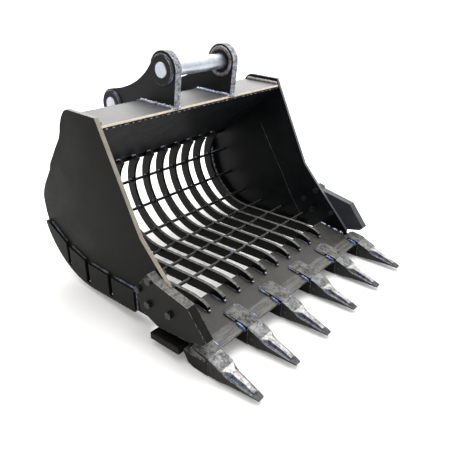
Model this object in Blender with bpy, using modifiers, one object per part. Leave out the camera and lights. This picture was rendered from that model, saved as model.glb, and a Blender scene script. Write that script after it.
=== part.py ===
"""Skeleton (riddle) bucket for a mid-size excavator.

Metres, +Z up, teeth towards -Y, width along X.  Every piece is drawn in the
bucket's own drawing frame, where the grid floor is level: u runs backwards
from the tooth line, v runs up, x across.  The whole assembly then hangs on one
empty that leans it onto its tooth tips and its heel, the way an unhitched
bucket stands on the ground.
"""
import math

import bmesh
import bpy
from mathutils import Euler, Matrix, Vector

# --------------------------------------------------------------------------
# driving dimensions, metres and degrees
# --------------------------------------------------------------------------
GAP = 0.0004                 # clearance between touching pieces

# stance on the ground
LEAN = -4.94                 # nose-up lean of the grid floor, degrees
SHIFT_Y = -0.4435            # moves the box centre onto the origin
SHIFT_Z = 0.08872             # lifts tooth tips and heel onto z = 0

# shell
WIDTH = 1.200                # over the outer faces of the side plates
SIDE_T = 0.020               # side plate thickness
INNER = WIDTH / 2 - SIDE_T   # inner face of a side plate
SIDE_ARC_C = (0.705, 0.331)  # back curve of the side plates
SIDE_ARC_R = 0.335
FLOOR_V = SIDE_ARC_C[1] - SIDE_ARC_R
TOP_FRONT = (0.581, 0.782)
TOP_REAR = (0.756, 0.790)
FOOT = (0.088, 0.037)        # where the leading edge meets the lip

# grid of ribs and cross bars
RIBS = 10
RIB_PITCH = 0.0974
RIB_T = 0.015
RIB_DEPTH = 0.048
RIB_ARC_C = (0.657, 0.357)
RIB_ARC_R = 0.285            # inner edge of the ribs
RIB_TOP_R = 0.190            # tighter curve of the ribs' upper ends
RIB_TOP_START = -20.0
RIB_TOP_END = 41.0
BARS = 6
BAR_R = 0.008
BAR_PITCH = 0.147            # along the floor
BAR_STEP = 27.7              # round the back, degrees
BAR_IN = 0.015               # bar centre below the ribs' inner edge

# lip
LIP_FRONT = 0.014
LIP_BACK = 0.250
LIP_BEVEL = 0.078            # where the front bevel starts
LIP_END = 0.634              # half length of the lip's front strip

# teeth
TEETH = 6
TOOTH_PITCH = 0.2387
TOOTH_W = 0.079
TOOTH_LEN = 0.218
TIP_W = 0.030
NOSE_LEN = 0.095
LOCK_R = 0.008
LOCK_AT = (-0.018, -0.049)   # u, v of the lock's axis

# ears and pins
EAR_T = 0.035
EAR_GAP = 0.336
FRONT_PIN = (0.624, 0.907)
REAR_PIN = (0.982, 0.718)
PIN_R = 0.035
PIN_FIT = 0.0005
FRONT_LOBE = 0.078
REAR_LOBE = 0.072
BOSS_R = 0.060
BOSS_OUT = 0.012

# side cutters
CUT_T = 0.040
BOLT_R = 0.010
BOLT_AT = ((0.288, 0.216), (0.356, 0.154), (0.300, 0.106), (0.184, 0.110))

COL = None
CUTS = None
STANCE = None


# --------------------------------------------------------------------------
# scene helpers
# --------------------------------------------------------------------------
def clear_scene():
    for ob in list(bpy.data.objects):
        bpy.data.objects.remove(ob, do_unlink=True)
    for block in (bpy.data.meshes, bpy.data.curves, bpy.data.materials):
        for item in list(block):
            block.remove(item)
    for c in list(bpy.data.collections):
        bpy.data.collections.remove(c)


def material(name, rgb, rough, metal):
    mat = bpy.data.materials.get(name)
    if mat is None:
        mat = bpy.data.materials.new(name)
        mat.use_nodes = True
        bsdf = mat.node_tree.nodes["Principled BSDF"]
        bsdf.inputs["Base Color"].default_value = (*rgb, 1.0)
        bsdf.inputs["Roughness"].default_value = rough
        bsdf.inputs["Metallic"].default_value = metal
        mat.diffuse_color = (*rgb, 1.0)
    return mat


PAINT = ("black_paint", (0.022, 0.023, 0.025), 0.38, 0.0)
RIB_PAINT = ("grid_paint", (0.030, 0.031, 0.032), 0.42, 0.0)
LIP_PAINT = ("lip_paint", (0.060, 0.058, 0.054), 0.48, 0.0)
CUTTER_STEEL = ("cutter_paint", (0.055, 0.058, 0.072), 0.40, 0.1)
CAST = ("cast_steel", (0.17, 0.17, 0.18), 0.50, 0.6)
ZINC = ("pin_steel", (0.55, 0.57, 0.60), 0.28, 1.0)
BOLT = ("bolt_steel", (0.05, 0.05, 0.055), 0.40, 0.6)


def place(ob, mat_def, home=None):
    """Name's collection, stance parent and material of a finished object."""
    for c in list(ob.users_collection):
        c.objects.unlink(ob)
    (home or COL).objects.link(ob)
    ob.parent = STANCE
    ob.data.materials.clear()
    ob.data.materials.append(material(*mat_def))
    return ob


def make_cutter(ob):
    for c in list(ob.users_collection):
        c.objects.unlink(ob)
    CUTS.objects.link(ob)
    ob.parent = STANCE
    ob.hide_render = True
    ob.display_type = 'WIRE'
    return ob


# turns a drawing in the local XY plane into the u-v plane, thickness along X
SIDEWAYS = Euler((math.pi / 2, 0.0, math.pi / 2))


def outline_curve(name, loops, thickness, x_mid):
    """Flat outline in the u-v plane, extruded across the bucket."""
    cu = bpy.data.curves.new(name, 'CURVE')
    cu.dimensions = '2D'
    cu.fill_mode = 'BOTH'
    cu.extrude = thickness / 2
    for loop in loops:
        sp = cu.splines.new('POLY')
        sp.points.add(len(loop) - 1)
        for pt, (u, v) in zip(sp.points, loop):
            pt.co = (u, v, 0.0, 1.0)
        sp.use_cyclic_u = True
    ob = bpy.data.objects.new(name, cu)
    bpy.context.scene.collection.objects.link(ob)
    ob.rotation_euler = SIDEWAYS
    ob.location = (x_mid, 0.0, 0.0)
    return ob


def solid_from_curve(curve_ob):
    """The curve's closed mesh as a new object in the curve's own place."""
    bpy.context.view_layer.update()
    dg = bpy.context.evaluated_depsgraph_get()
    mesh = bpy.data.meshes.new_from_object(curve_ob.evaluated_get(dg))
    bm = bmesh.new()
    bm.from_mesh(mesh)
    bmesh.ops.remove_doubles(bm, verts=bm.verts, dist=1e-5)
    bmesh.ops.recalc_face_normals(bm, faces=bm.faces)
    bm.to_mesh(mesh)
    bm.free()
    name = curve_ob.name
    mat = curve_ob.matrix_world.copy()
    data = curve_ob.data
    bpy.data.objects.remove(curve_ob, do_unlink=True)
    bpy.data.curves.remove(data)
    mesh.name = name
    ob = bpy.data.objects.new(name, mesh)
    bpy.context.scene.collection.objects.link(ob)
    ob.matrix_world = mat
    return ob


def plate(name, loops, thickness, x_mid, mat_def):
    return place(solid_from_curve(outline_curve(name, loops, thickness, x_mid)), mat_def)


def cutter_plate(name, loops, thickness, x_mid):
    return make_cutter(solid_from_curve(outline_curve(name, loops, thickness, x_mid)))


def boolean(ob, other, op):
    m = ob.modifiers.new(op.lower(), 'BOOLEAN')
    m.operation = op
    m.solver = 'EXACT'
    m.object = other
    return m


def bevel(ob, width, segments=1, angle=50.0):
    m = ob.modifiers.new("edge", 'BEVEL')
    m.width = width
    m.segments = segments
    m.limit_method = 'ANGLE'
    m.angle_limit = math.radians(angle)
    return m


def circle(centre, r, n, start=0.0):
    return [(centre[0] + r * math.cos(math.radians(start) + 2 * math.pi * i / n),
             centre[1] + r * math.sin(math.radians(start) + 2 * math.pi * i / n))
            for i in range(n)]


def hole(centre, r, n):
    """A polygon whose flats clear a round of radius r."""
    return circle(centre, (r + GAP) / math.cos(math.pi / n), n)


def arc(centre, r, a0, a1, n):
    """Points along an arc, both ends included."""
    out = []
    for i in range(n + 1):
        a = math.radians(a0 + (a1 - a0) * i / n)
        out.append((centre[0] + r * math.cos(a), centre[1] + r * math.sin(a)))
    return out


def bezier2(p0, p1, p2, n):
    out = []
    for i in range(n + 1):
        t = i / n
        out.append(tuple((1 - t) ** 2 * a + 2 * t * (1 - t) * b + t * t * c
                         for a, b, c in zip(p0, p1, p2)))
    return out


def offset_path(path, d):
    """The open path moved sideways by d (to its left), mitred."""
    out = []
    for i, p in enumerate(path):
        ns = []
        if i > 0:
            q = path[i - 1]
            t = Vector((p[0] - q[0], p[1] - q[1])).normalized()
            ns.append(Vector((-t.y, t.x)))
        if i < len(path) - 1:
            q = path[i + 1]
            t = Vector((q[0] - p[0], q[1] - p[1])).normalized()
            ns.append(Vector((-t.y, t.x)))
        n = sum(ns, Vector((0.0, 0.0)))
        n.normalize()
        k = d / max(n.dot(ns[0]), 0.3)
        out.append((p[0] + n.x * k, p[1] + n.y * k))
    return out


def strip(path, d):
    """Closed outline of a bent strip: the path and its offset."""
    return list(path) + list(reversed(offset_path(path, d)))


def turned(name, profile, steps, mat_def):
    """A round piece on the local Z axis: profile is (radius, height), top down."""
    me = bpy.data.meshes.new(name)
    verts = [(r, 0.0, h) for r, h in profile]
    me.from_pydata(verts, [(i, i + 1) for i in range(len(verts) - 1)], [])
    ob = bpy.data.objects.new(name, me)
    bpy.context.scene.collection.objects.link(ob)
    m = ob.modifiers.new("turn", 'SCREW')
    m.steps = steps
    m.render_steps = steps
    m.use_merge_vertices = True
    m.merge_threshold = 0.0001
    m.use_smooth_shade = True
    return place(ob, mat_def)


# --------------------------------------------------------------------------
# shared outlines
# --------------------------------------------------------------------------
def lip_top(u):
    """Height of the lip's upper face, bevelled towards the teeth."""
    if u < LIP_BEVEL:
        return -0.012 + (u - LIP_FRONT) / (LIP_BEVEL - LIP_FRONT) * 0.015
    return 0.003 + (u - LIP_BEVEL) / (LIP_BACK - LIP_BEVEL) * 0.031


def lip_bottom(u):
    if u < LIP_BEVEL:
        return -0.021 - (u - LIP_FRONT) / (LIP_BEVEL - LIP_FRONT) * 0.006
    return -0.027 + (u - LIP_BEVEL) / (LIP_BACK - LIP_BEVEL) * 0.030


def leading_edge(n=14):
    """Concave front edge of a side plate, from the top corner to the foot."""
    upper = bezier2(TOP_FRONT, (0.462, 0.530), (0.375, 0.350), n)
    lower = bezier2((0.375, 0.350), (0.300, 0.268), FOOT, 6)
    return upper + lower[1:]


def back_edge():
    """Rear outline of a side plate, from the heel up to the top rear corner."""
    pts = arc(SIDE_ARC_C, SIDE_ARC_R, -90.0, 5.0, 17)
    pts += [(1.026, 0.392), (1.008, 0.424), (0.953, 0.498), (0.940, 0.531),
            (0.882, 0.609), (0.841, 0.661), (0.829, 0.688), (0.821, 0.718),
            (0.806, 0.748), (0.790, 0.770), (0.774, 0.784)]
    pts.append(TOP_REAR)
    return pts


def side_outline():
    pts = [(FOOT[0], FLOOR_V)]
    pts += back_edge()
    pts += leading_edge()
    return pts


def rib_inner_edge():
    """Inner (working) edge of a rib from its nose on the lip to its top end."""
    nose = bezier2((0.170, 0.044), (0.213, 0.072), (0.300, 0.072), 6)
    floor = [(RIB_ARC_C[0], RIB_ARC_C[1] - RIB_ARC_R)]
    back = arc(RIB_ARC_C, RIB_ARC_R, -90.0, RIB_TOP_START, 10)[1:]
    c2 = top_centre()
    top = arc(c2, RIB_TOP_R, RIB_TOP_START, RIB_TOP_END, 8)[1:]
    return nose + floor + back + top, c2


def top_centre():
    """Centre of the tighter curve, tangent to the main one."""
    a = math.radians(RIB_TOP_START)
    d = RIB_ARC_R - RIB_TOP_R
    return (RIB_ARC_C[0] + d * math.cos(a), RIB_ARC_C[1] + d * math.sin(a))


def rib_outline():
    inner, c2 = rib_inner_edge()
    outer = arc(c2, RIB_TOP_R + RIB_DEPTH, RIB_TOP_END, RIB_TOP_START, 8)
    outer += arc(RIB_ARC_C, RIB_ARC_R + RIB_DEPTH, RIB_TOP_START, -90.0, 10)[1:]
    low = RIB_ARC_C[1] - RIB_ARC_R - RIB_DEPTH
    outer += [(LIP_BACK + 0.001, low),
              (LIP_BACK + 0.001, lip_top(LIP_BACK) + GAP),
              (0.168, lip_top(0.168) + GAP)]
    return inner + outer


def bar_centres():
    """Centres of the cross bars, from the top of the back to the lip."""
    r = RIB_ARC_R + BAR_IN
    out = []
    for k in range(3, 0, -1):
        a = math.radians(-90.0 + k * BAR_STEP)
        out.append((RIB_ARC_C[0] + r * math.cos(a), RIB_ARC_C[1] + r * math.sin(a)))
    for k in range(3):
        out.append((RIB_ARC_C[0] - k * BAR_PITCH, RIB_ARC_C[1] - r))
    return out


def rib_x(i):
    return (i - (RIBS - 1) / 2) * RIB_PITCH


def tooth_x(i):
    return (i - (TEETH - 1) / 2) * TOOTH_PITCH


def cutter_outline():
    return [(0.298, 0.241), (0.382, 0.142), (0.346, 0.056), (0.262, 0.020),
            (0.098, 0.030), (0.018, 0.048), (0.001, 0.066), (0.091, 0.179),
            (0.262, 0.217)]


# --------------------------------------------------------------------------
# pieces
# --------------------------------------------------------------------------
def build_sides():
    bolts = [hole(c, BOLT_R, 12) for c in BOLT_AT]
    for side, sx in (("left", -1), ("right", 1)):
        x = sx * (WIDTH - SIDE_T) / 2
        plate("side_plate_" + side, [side_outline()] + bolts, SIDE_T, x, PAINT)

        # curved flat bar welded inside the side plate's lower edge
        path = [(0.345, FLOOR_V)] + arc(SIDE_ARC_C, SIDE_ARC_R, -90.0, 8.0, 16)
        plate("side_rim_" + side, [strip(path, 0.016)], 0.030,
              sx * (INNER - GAP - 0.015), PAINT)

        # outer wear pads along the lower edge, tied by a low strip
        top = [((1.004, 0.236), (0.882, 0.166)), ((0.860, 0.153), (0.752, 0.122)),
               ((0.724, 0.116), (0.592, 0.109)), ((0.566, 0.106), (0.425, 0.103))]
        edge = list(reversed(arc(SIDE_ARC_C, SIDE_ARC_R - 0.0005, -90.0, -16.0, 15)))
        low = FLOOR_V + 0.0005
        loop = []
        for k, (a, b) in enumerate(top):
            if k:
                loop.append((a[0], pad_floor(a[0])))
            loop += [a, b]
            if k < len(top) - 1:
                loop.append((b[0], pad_floor(b[0])))
        loop.append((0.425, low))
        loop += list(reversed(edge))
        plate("wear_pads_" + side, [loop], 0.016,
              sx * (WIDTH / 2 + GAP + 0.008), PAINT)

        # runner under the front corner
        box_piece("corner_runner_" + side, (sx * 0.6215, 0.206, -0.0245),
                  (0.077, 0.158, 0.032), PAINT, 0.003)


def pad_floor(u):
    """Upper side of the low strip that ties the wear pads."""
    du = max(u - SIDE_ARC_C[0], 0.0)
    r = SIDE_ARC_R - 0.014
    return SIDE_ARC_C[1] - math.sqrt(r * r - du * du)


def box_piece(name, centre, size, mat_def, edge=0.0):
    bpy.ops.mesh.primitive_cube_add(size=1.0, location=centre)
    ob = bpy.context.object
    ob.name = name
    ob.data.name = name
    ob.data.transform(scaling(size))
    place(ob, mat_def)
    ob.location = centre
    if edge:
        bevel(ob, edge)
    return ob


def scaling(size):
    return Matrix.Diagonal((size[0], size[1], size[2], 1.0))


def build_box_beam():
    """Hollow beam across the top: top plate, inner panel and rear plate."""
    length = 2 * (INNER - GAP)
    top = [(0.570, 0.735), (0.785, 0.744), (0.785, 0.760), (0.570, 0.751)]
    plate("top_plate", [top], length, 0.0, PAINT)

    c2 = top_centre()
    a = math.radians(RIB_TOP_END)
    radial = Vector((math.cos(a), math.sin(a)))
    along = Vector((-math.sin(a), math.cos(a)))
    # the panel's lower edge folds back across the ribs' cut ends
    start = Vector(c2) + radial * (RIB_TOP_R + 0.028) + along * 0.0006
    p1 = (start.x, start.y)
    p2 = (p1[0] + radial.x * 0.0195, p1[1] + radial.y * 0.0195)
    slope = Vector((p1[0] - 0.584, p1[1] - 0.734)).normalized()
    p0_v = 0.7348 - 0.012 * abs(slope.x)
    s = (p0_v - p1[1]) / -slope.y
    p0 = (p1[0] - slope.x * s, p0_v)
    plate("inner_panel", [strip([p0, p1, p2], 0.012)], length, 0.0, PAINT)

    path = arc(c2, RIB_TOP_R + RIB_DEPTH + GAP, 25.0, 41.0, 4) + [(0.812, 0.700), (0.7905, 0.737)]
    plate("rear_plate", [strip(path, -0.012)], length, 0.0, PAINT)


def build_lip():
    prof = [(LIP_FRONT, lip_bottom(LIP_FRONT)), (LIP_BACK, lip_bottom(LIP_BACK)),
            (LIP_BACK, lip_top(LIP_BACK)), (LIP_BEVEL, lip_top(LIP_BEVEL)),
            (LIP_FRONT, lip_top(LIP_FRONT))]
    prof.insert(1, (LIP_BEVEL, lip_bottom(LIP_BEVEL)))
    lip = plate("lip_plate", [prof], 2 * LIP_END, 0.0, LIP_PAINT)
    for side, sx in (("l", -1), ("r", 1)):
        x0 = INNER - GAP
        c = cutter_plate("lip_corner_cut_" + side,
                         [[(FOOT[0] - 0.0006, -0.08), (0.30, -0.08), (0.30, 0.09),
                           (FOOT[0] - 0.0006, 0.09)]], 0.08, sx * (x0 + 0.04))
        boolean(lip, c, 'DIFFERENCE')


def build_grid():
    loop = rib_outline()
    holes = [hole(c, BAR_R, 12) for c in bar_centres()]
    first = None
    for i in range(RIBS):
        name = "rib_%02d" % (i + 1)
        if first is None:
            first = plate(name, [loop] + holes, RIB_T, rib_x(i), RIB_PAINT)
        else:
            ob = bpy.data.objects.new(name, first.data)
            bpy.context.scene.collection.objects.link(ob)
            ob.rotation_euler = SIDEWAYS
            ob.location = (rib_x(i), 0.0, 0.0)
            ob.parent = STANCE
            for c in list(ob.users_collection):
                c.objects.unlink(ob)
            COL.objects.link(ob)
    for k, (u, v) in enumerate(bar_centres()):
        bpy.ops.mesh.primitive_cylinder_add(vertices=12, radius=BAR_R,
                                            depth=2 * (INNER - GAP),
                                            location=(0.0, u, v),
                                            rotation=(0.0, math.pi / 2, 0.0))
        ob = bpy.context.object
        ob.name = "cross_bar_%d" % (k + 1)
        ob.data.name = ob.name
        ob.data.shade_smooth()
        ob.data.set_sharp_from_angle(angle=math.radians(40))
        place(ob, RIB_PAINT)


def ear_outline():
    """Pin ear: tall front lobe, sweep down to the rear lobe, foot on the beam."""
    loop = [(0.566, 0.7514 + 0.0003), (0.7855, 0.7604 + 0.0003), (0.8022, 0.7444)]
    loop += [(0.8232, 0.7066), (0.890, 0.596)]
    loop += arc(REAR_PIN, REAR_LOBE, -52.0, 93.0, 14)
    loop += list(reversed(bezier2((0.6993, 0.9272), (0.783, 0.818), (0.9782, 0.7899), 9)))[1:]
    loop += arc(FRONT_PIN, FRONT_LOBE, 15.0, 178.0, 14)[1:]
    return loop


def build_ears():
    for side, sx in (("left", -1), ("right", 1)):
        x_in = EAR_GAP / 2
        x_mid = sx * (x_in + EAR_T / 2)
        ear = plate("ear_" + side, [ear_outline(), hole(FRONT_PIN, PIN_R, 32),
                                    hole(REAR_PIN, PIN_R, 32)], EAR_T, x_mid, PAINT)
        # welded boss collars on the outside
        for tag, c in (("front", FRONT_PIN), ("rear", REAR_PIN)):
            ring = cutter_plate("boss_%s_%s" % (tag, side),
                                [circle(c, BOSS_R, 32), hole(c, PIN_R, 32)],
                                BOSS_OUT + 0.010,
                                sx * (x_in + EAR_T + (BOSS_OUT - 0.010) / 2))
            boolean(ear, ring, 'UNION')
    half = EAR_GAP / 2 + EAR_T + BOSS_OUT + 0.0015
    ch = 0.003
    prof = [(0.0, half), (PIN_R - PIN_FIT - ch, half), (PIN_R - PIN_FIT, half - ch),
            (PIN_R - PIN_FIT, -half + ch), (PIN_R - PIN_FIT - ch, -half), (0.0, -half)]
    for tag, c in (("front", FRONT_PIN), ("rear", REAR_PIN)):
        pin = turned(tag + "_pin", prof, 32, ZINC)
        pin.rotation_euler = (0.0, math.pi / 2, 0.0)
        pin.location = (0.0, c[0], c[1])


def loft(name, sections, mat_def):
    """Closed solid through equal-length rings (x, u, v), capped at both ends."""
    bm = bmesh.new()
    rings = [[bm.verts.new(p) for p in ring] for ring in sections]
    n = len(rings[0])
    for a, b in zip(rings, rings[1:]):
        for i in range(n):
            j = (i + 1) % n
            bm.faces.new((a[i], a[j], b[j], b[i]))
    bm.faces.new(list(reversed(rings[0])))
    bm.faces.new(rings[-1])
    bmesh.ops.recalc_face_normals(bm, faces=bm.faces)
    me = bpy.data.meshes.new(name)
    bm.to_mesh(me)
    bm.free()
    ob = bpy.data.objects.new(name, me)
    bpy.context.scene.collection.objects.link(ob)
    return ob


def nose_ring(u, grow):
    """Cross-section of an adapter's nose at u, grown by the fit clearance."""
    t = (0.004 - u) / (NOSE_LEN + 0.004)
    w = 0.026 - 0.006 * t + grow
    hi = -0.016 - 0.036 * t + grow
    lo = -0.070 + 0.003 * t - grow
    c = 0.005
    return [(-w, u, lo + c), (-w, u, hi - c), (-w + c, u, hi), (w - c, u, hi),
            (w, u, hi - c), (w, u, lo + c), (w - c, u, lo), (-w + c, u, lo)]


def adapter_outline(corner):
    back = 0.080 if corner else 0.124
    top = [(0.0006, 0.0005), (0.032, 0.0075)]
    if corner:
        top += [(0.072, 0.0135), (back, 0.0085)]
    else:
        top += [(0.082, 0.0150), (0.115, 0.0195), (back, 0.0145)]
    loop = list(top)
    loop += [(back, lip_top(back) + GAP)]
    if back > LIP_BEVEL + 0.004:
        loop += [(LIP_BEVEL, lip_top(LIP_BEVEL) + GAP)]
    loop += [(LIP_FRONT - GAP, lip_top(LIP_FRONT) + GAP),
             (LIP_FRONT - GAP, lip_bottom(LIP_FRONT) - GAP),
             (LIP_BEVEL, lip_bottom(LIP_BEVEL) - GAP)]
    rear = 0.122
    loop += [(rear, lip_bottom(rear) - GAP), (rear, -0.036), (0.100, -0.072),
             (0.070, -0.083), (0.0006, -0.084)]
    return loop


def build_teeth():
    w = TOOTH_W / 2
    for i in range(TEETH):
        x = tooth_x(i)
        n = i + 1
        corner = i in (0, TEETH - 1)

        # adapter: body round the lip, nose forward with a lock groove
        ad = plate("adapter_%d" % n, [adapter_outline(corner)], TOOTH_W, x, CAST)
        nose = make_cutter(loft("nose_%d" % n, [nose_ring(0.008, 0.0), nose_ring(-NOSE_LEN, 0.0)], CAST))
        nose.location = (x, 0.0, 0.0)
        groove = cutter_box("groove_%d" % n, (x - 0.0285, LOCK_AT[0] - 0.025, LOCK_AT[1]),
                            (0.020, 0.050 + 2 * LOCK_R + 0.10, 2 * LOCK_R + 0.002))
        groove.location.y = LOCK_AT[0] + LOCK_R + 0.001 - (0.050 + 2 * LOCK_R + 0.10) / 2
        boolean(ad, nose, 'UNION')
        boolean(ad, groove, 'DIFFERENCE')

        # point: a wedge with a square base, a ridge and a chisel tip
        pt = loft("tooth_point_%d" % n, point_sections(), CAST)
        place(pt, CAST)
        pt.location = (x, 0.0, 0.0)
        sock = make_cutter(loft("socket_%d" % n, [nose_ring(0.012, 0.0006),
                                                  nose_ring(-NOSE_LEN - 0.0012, 0.0006)], CAST))
        sock.location = (x, 0.0, 0.0)
        bore = cutter_cylinder("lock_bore_%d" % n, (x - w, LOCK_AT[0], LOCK_AT[1]),
                               (LOCK_R + GAP) / math.cos(math.pi / 16), 0.040, 16)
        boolean(pt, sock, 'DIFFERENCE')
        boolean(pt, bore, 'DIFFERENCE')

        # lock: a short turning plug in the near wall of the point
        prof = [(0.0, 0.0135), (LOCK_R - 0.0015, 0.0135), (LOCK_R, 0.012),
                (LOCK_R, -0.0045), (LOCK_R - 0.001, -0.0055), (0.0, -0.0055)]
        lk = turned("point_lock_%d" % n, prof, 16, BOLT)
        lk.rotation_euler = (0.0, -math.pi / 2, 0.0)
        lk.location = (x - w + 0.0125, LOCK_AT[0], LOCK_AT[1])
        slot = cutter_box("drive_slot_%d" % n, (x - w - 0.002, LOCK_AT[0], LOCK_AT[1]),
                          (0.010, 0.0025, 0.040))
        boolean(lk, slot, 'DIFFERENCE')


def point_sections():
    """Rings of the point, from its square base to the chisel tip."""
    rows = [  # u, half width, top, ridge top, bottom
        (-0.0006, 0.0395, -0.0010, -0.0010, -0.0840),
        (-0.0300, 0.0395, -0.0125, -0.0125, -0.0830),
        (-0.0620, 0.0385, -0.0290, -0.0270, -0.0812),
        (-0.0900, 0.0335, -0.0500, -0.0360, -0.0802),
        (-0.1550, 0.0255, -0.0665, -0.0565, -0.0825),
        (-0.1850, 0.0215, -0.0755, -0.0715, -0.0855),
        (-TOOTH_LEN, TIP_W / 2, -0.0835, -0.0835, -0.0900),
    ]
    out = []
    for u, hw, top, ridge, low in rows:
        c = 0.003
        rw = hw * 0.36
        out.append([(-hw, u, low + c), (-hw, u, top - c * 0.5), (-hw + c, u, top),
                    (-rw, u, ridge), (rw, u, ridge), (hw - c, u, top),
                    (hw, u, top - c * 0.5), (hw, u, low + c),
                    (hw - c, u, low), (-hw + c, u, low)])
    return out


def cutter_box(name, centre, size):
    bpy.ops.mesh.primitive_cube_add(size=1.0, location=centre)
    ob = bpy.context.object
    ob.name = name
    ob.data.transform(scaling(size))
    return make_cutter(ob)


def cutter_cylinder(name, centre, r, depth, n):
    bpy.ops.mesh.primitive_cylinder_add(vertices=n, radius=r, depth=depth, location=centre,
                                        rotation=(0.0, math.pi / 2, 0.0))
    ob = bpy.context.object
    ob.name = name
    return make_cutter(ob)


def build_side_cutters():
    holes = [hole(c, BOLT_R, 12) for c in BOLT_AT]
    for side, sx in (("left", -1), ("right", 1)):
        x_mid = sx * (WIDTH / 2 + GAP + CUT_T / 2)
        cut = plate("side_cutter_" + side, [cutter_outline()] + holes, CUT_T, x_mid,
                    CUTTER_STEEL)
        # hex-headed bolt and nut through cutter and side plate, one turned piece
        x_out = WIDTH / 2 + GAP + CUT_T
        for k, (u, v) in enumerate(BOLT_AT):
            bolt = hex_bolt("cutter_bolt_%s_%d" % (side, k + 1), x_out, sx)
            bolt.location = (0.0, u, v)


def hex_bolt(name, x_out, sx):
    """Bolt with its nut, along X: head outside the cutter, nut inside the shell."""
    bm = bmesh.new()
    rows = [(x_out + 0.014, 0.0145), (x_out + 0.0125, 0.0165), (x_out + GAP, 0.0165),
            (x_out + GAP, BOLT_R), (INNER - GAP, BOLT_R), (INNER - GAP, 0.0165),
            (INNER - 0.016, 0.0165), (INNER - 0.016, 0.0090), (INNER - 0.022, 0.0080)]
    rings = []
    for x, r in rows:
        rings.append([bm.verts.new((sx * x, r * math.cos(math.radians(60 * i + 15)),
                                    r * math.sin(math.radians(60 * i + 15))))
                      for i in range(6)])
    for a, b in zip(rings, rings[1:]):
        for i in range(6):
            j = (i + 1) % 6
            bm.faces.new((a[i], a[j], b[j], b[i]))
    bm.faces.new(rings[0])
    bm.faces.new(rings[-1])
    bmesh.ops.recalc_face_normals(bm, faces=bm.faces)
    me = bpy.data.meshes.new(name)
    bm.to_mesh(me)
    bm.free()
    ob = bpy.data.objects.new(name, me)
    bpy.context.scene.collection.objects.link(ob)
    return place(ob, BOLT)


def main():
    global COL, CUTS, STANCE
    clear_scene()
    COL = bpy.data.collections.new("skeleton_bucket")
    CUTS = bpy.data.collections.new("cutters")
    bpy.context.scene.collection.children.link(COL)
    bpy.context.scene.collection.children.link(CUTS)
    STANCE = bpy.data.objects.new("stance", None)
    COL.objects.link(STANCE)
    build_sides()
    build_box_beam()
    build_lip()
    build_grid()
    build_ears()
    build_teeth()
    build_side_cutters()
    STANCE.rotation_euler = (math.radians(LEAN), 0.0, 0.0)
    STANCE.location = (0.0, SHIFT_Y, SHIFT_Z)
    bpy.context.view_layer.update()


main()
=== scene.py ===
"""Skeleton excavator bucket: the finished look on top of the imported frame."""
import math

import bmesh
import bpy
from mathutils import Matrix, Vector, noise


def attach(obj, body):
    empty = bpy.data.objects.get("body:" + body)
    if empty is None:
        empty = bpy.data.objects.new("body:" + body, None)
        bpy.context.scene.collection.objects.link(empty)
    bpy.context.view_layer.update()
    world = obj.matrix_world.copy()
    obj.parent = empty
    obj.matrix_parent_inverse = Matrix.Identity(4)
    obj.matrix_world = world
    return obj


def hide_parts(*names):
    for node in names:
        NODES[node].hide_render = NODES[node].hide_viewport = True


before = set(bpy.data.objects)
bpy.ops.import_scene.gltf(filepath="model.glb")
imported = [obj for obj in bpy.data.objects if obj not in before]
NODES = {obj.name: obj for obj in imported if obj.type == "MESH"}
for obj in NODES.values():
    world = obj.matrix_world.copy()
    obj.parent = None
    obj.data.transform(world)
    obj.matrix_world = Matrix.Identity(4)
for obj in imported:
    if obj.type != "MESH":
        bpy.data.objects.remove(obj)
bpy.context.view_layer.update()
scene = bpy.context.scene

# --------------------------------------------------------------------------
# the drawing frame: u back from the tooth line, v up, leant onto the ground
# --------------------------------------------------------------------------
LEAN = math.radians(-4.94)
SHIFT = Vector((0.0, -0.4435, 0.08872))
STAND = Matrix.Translation(SHIFT) @ Matrix.Rotation(LEAN, 4, 'X')

WIDTH = 1.200
SIDE_T = 0.020
INNER = WIDTH / 2 - SIDE_T
SIDE_C = (0.705, 0.331)
SIDE_R = 0.335
FLOOR_V = SIDE_C[1] - SIDE_R
RIB_C = (0.657, 0.357)
RIB_R = 0.285
TOP_R = 0.190
RIB_D = 0.048
RIB_PITCH = 0.0974
RIB_T = 0.015
BAR_IN = 0.015
TOOTH_PITCH = 0.2387
TOOTH_W = 0.079
LIP_F, LIP_BEV, LIP_B = 0.014, 0.078, 0.250
FRONT_PIN = (0.624, 0.907)
REAR_PIN = (0.982, 0.718)
EAR_IN, EAR_OUT = 0.168, 0.203
BOSS_R = 0.060
CUT_T = 0.040


def rib_x(i):
    return (i - 4.5) * RIB_PITCH


def tooth_x(i):
    return (i - 2.5) * TOOTH_PITCH


def top_c():
    a = math.radians(-20.0)
    d = RIB_R - TOP_R
    return (RIB_C[0] + d * math.cos(a), RIB_C[1] + d * math.sin(a))


def lip_top(u):
    if u < LIP_BEV:
        return -0.012 + (u - LIP_F) / (LIP_BEV - LIP_F) * 0.015
    return 0.003 + (u - LIP_BEV) / (LIP_B - LIP_BEV) * 0.031


def arc(c, r, a0, a1, n):
    return [(c[0] + r * math.cos(math.radians(a0 + (a1 - a0) * i / n)),
             c[1] + r * math.sin(math.radians(a0 + (a1 - a0) * i / n))) for i in range(n + 1)]


def bez(p0, p1, p2, n):
    out = []
    for i in range(n + 1):
        t = i / n
        out.append(tuple((1 - t) ** 2 * a + 2 * t * (1 - t) * b + t * t * c
                         for a, b, c in zip(p0, p1, p2)))
    return out


def bar_centres():
    r = RIB_R + BAR_IN
    out = []
    for k in range(3, 0, -1):
        a = math.radians(-90.0 + k * 27.7)
        out.append((RIB_C[0] + r * math.cos(a), RIB_C[1] + r * math.sin(a)))
    for k in range(3):
        out.append((RIB_C[0] - k * 0.147, RIB_C[1] - r))
    return out


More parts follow.
